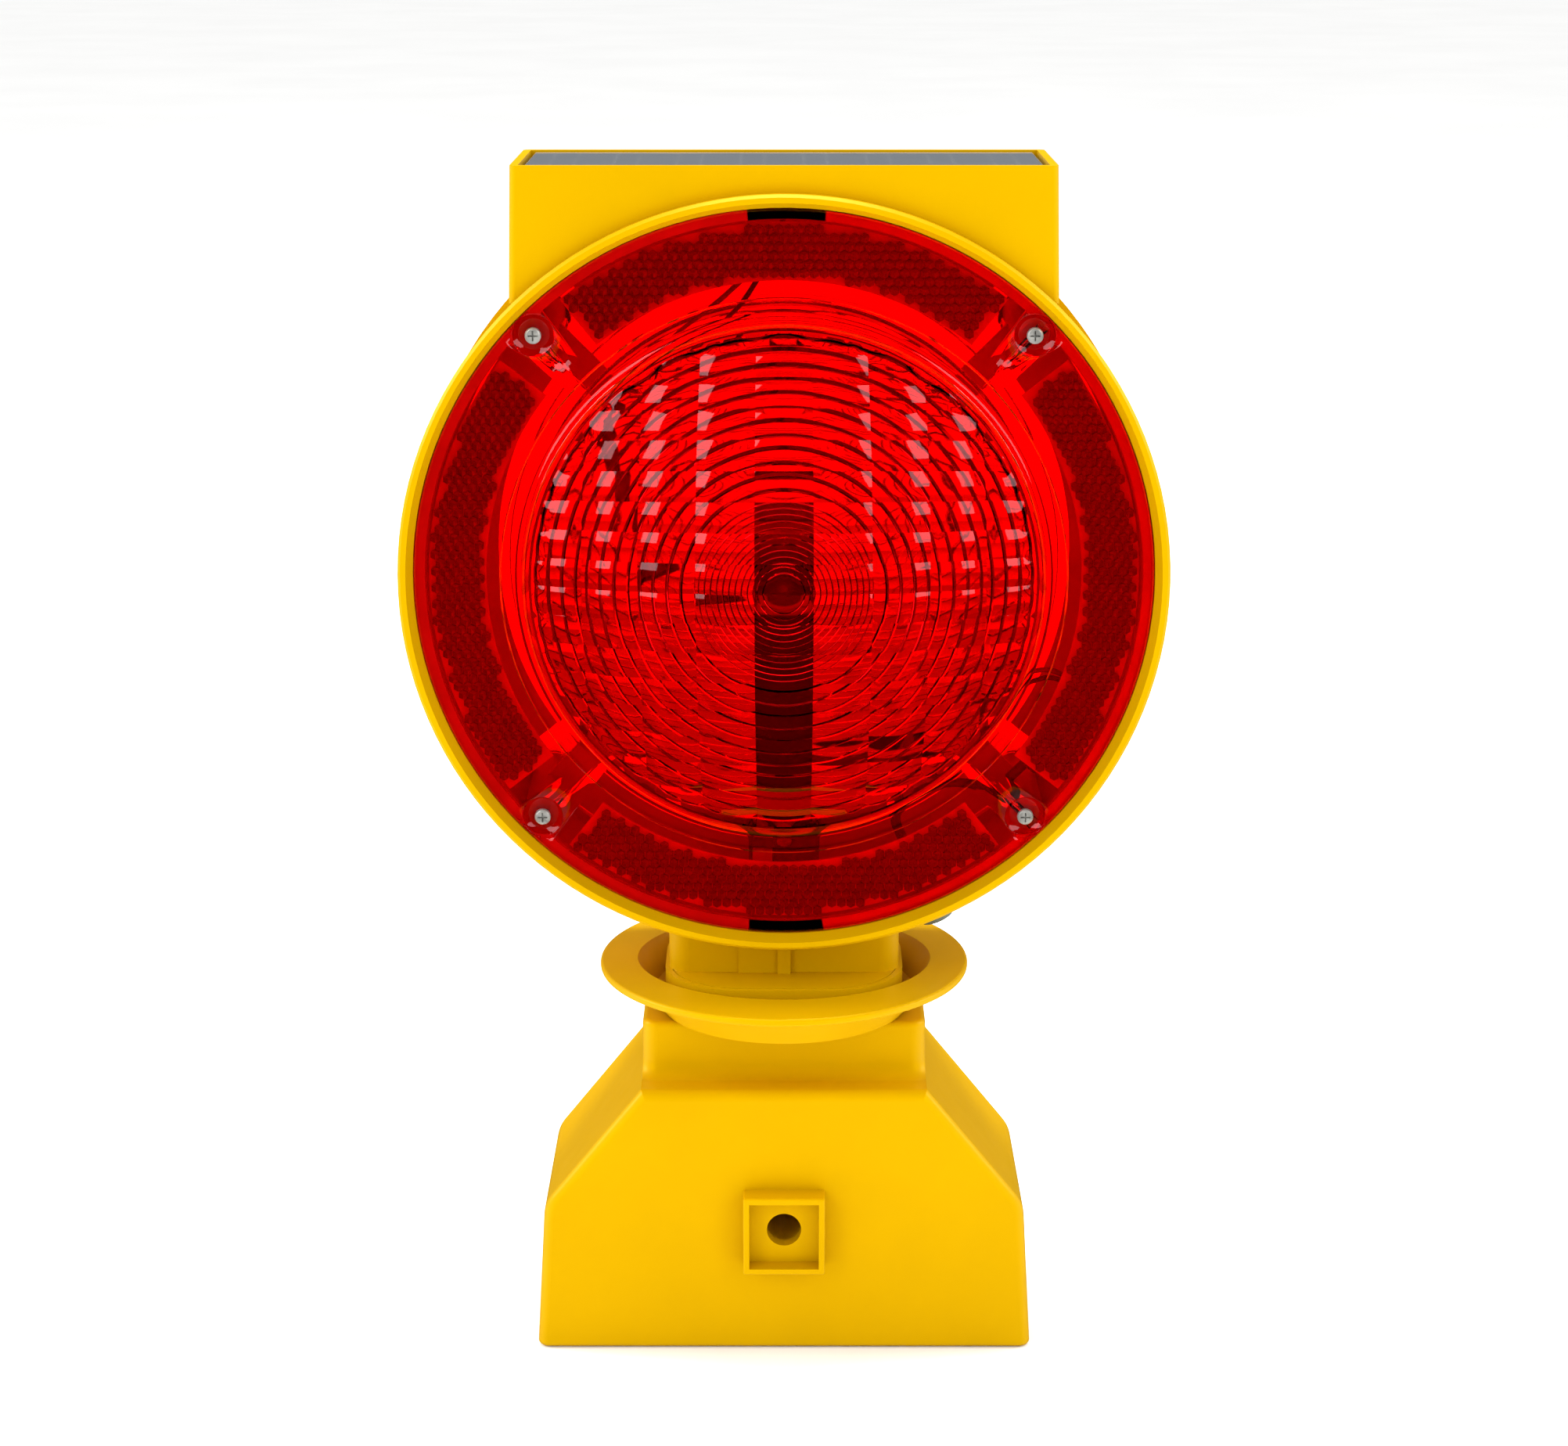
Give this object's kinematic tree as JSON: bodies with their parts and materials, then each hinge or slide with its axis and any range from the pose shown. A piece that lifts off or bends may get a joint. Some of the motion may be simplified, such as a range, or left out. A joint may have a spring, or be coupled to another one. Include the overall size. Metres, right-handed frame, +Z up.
{
  "type": "solar traffic warning lamp",
  "caption": "Two-sided red solar warning lamp for traffic drums and barricades, with a swivelling head, a battery base and a through-bolt socket.",
  "frame": {"origin": "bottom centre of the battery base, on the surface it stands on", "axes": "+Z up along the swivel axis, -Y out of the front face that holds the front lens, +X to the right seen from the front"},
  "size_m": [0.188, 0.095, 0.3024],
  "materials": {
    "yellow_housing": "satin UV-stable yellow moulding",
    "red_lens": "transparent red moulding with prism rings",
    "red_reflector": "dark red hexagonal prism reflector",
    "black_rubber_seal": "matt black sealing rubber",
    "switch_rubber": "grey-green moulded rubber",
    "steel_screw": "zinc-plated steel",
    "nickel_contact": "nickel-plated spring steel",
    "black_plastic": "matt black moulding",
    "white_plastic": "white nylon moulding",
    "sensor_window": "clear round window",
    "circuit_board": "green solder mask on glass fibre",
    "chip_epoxy": "dark moulded epoxy",
    "capacitor_can": "aluminium can",
    "led_epoxy": "red tinted LED epoxy",
    "cell_sleeve": "green shrink sleeve",
    "solar_cell": "dark blue silicon",
    "panel_board": "dark grey backing board",
    "panel_cover": "clear poured resin",
    "red_wire": "red wire insulation",
    "black_wire": "black wire insulation",
    "shrink_sleeve": "black shrink tube"
  },
  "bodies": {
    "base": {"base_front_shell": "yellow_housing", "base_rear_shell": "yellow_housing", "shell_screws": "steel_screw", "battery_holder": "black_plastic", "battery_cell_left": "cell_sleeve", "battery_cell_right": "cell_sleeve", "battery_springs": "nickel_contact", "battery_contacts": "nickel_contact", "battery_cable_lower": "black_wire"},
    "head": {"battery_cable_upper": "black_wire", "board_capacitors": "capacitor_can", "board_chips": "chip_epoxy", "board_screws": "steel_screw", "collar_screws": "steel_screw", "control_board": "circuit_board", "front_led": "led_epoxy", "front_led_shroud": "black_plastic", "front_lens": "red_lens", "front_lens_gasket": "black_rubber_seal", "front_lens_screws": "steel_screw", "front_reflectors": "red_reflector", "head_housing": "yellow_housing", "lead_connectors": "white_plastic", "lead_grommets": "black_rubber_seal", "led_post": "black_plastic", "light_sensor_cap": "white_plastic", "light_sensor_window": "sensor_window", "neck_collar": "yellow_housing", "panel_lead_black": "black_wire", "panel_lead_red": "red_wire", "panel_seal": "black_rubber_seal", "post_screws": "steel_screw", "rear_led": "led_epoxy", "rear_led_shroud": "black_plastic", "rear_lens": "red_lens", "rear_lens_gasket": "black_rubber_seal", "rear_lens_screws": "steel_screw", "rear_reflectors": "red_reflector", "solar_cells": "solar_cell", "solar_panel_board": "panel_board", "solar_panel_cover": "panel_cover", "splice_sleeve": "shrink_sleeve", "switch_body": "black_plastic", "switch_cable": "black_wire", "switch_lead_lower": "black_wire", "switch_lead_upper": "red_wire", "switch_nut": "steel_screw", "switch_washer": "black_rubber_seal"},
    "button": {"switch_plunger": "white_plastic", "switch_cap": "switch_rubber"}
  },
  "joints": [
    {"name": "head_swivel", "type": "hinge", "parent": "base", "child": "head", "pos_m": [0, 0, 0.085], "axis": [0, 0, 1], "range_deg": [-150, 150]},
    {"name": "switch_press", "type": "slide", "parent": "head", "child": "button", "axis": [-0.3907, 0, 0.9205], "range_m": [0, 0.0015], "stiffness_N_per_m": 1500, "springref_m": -0.001}
  ]
}
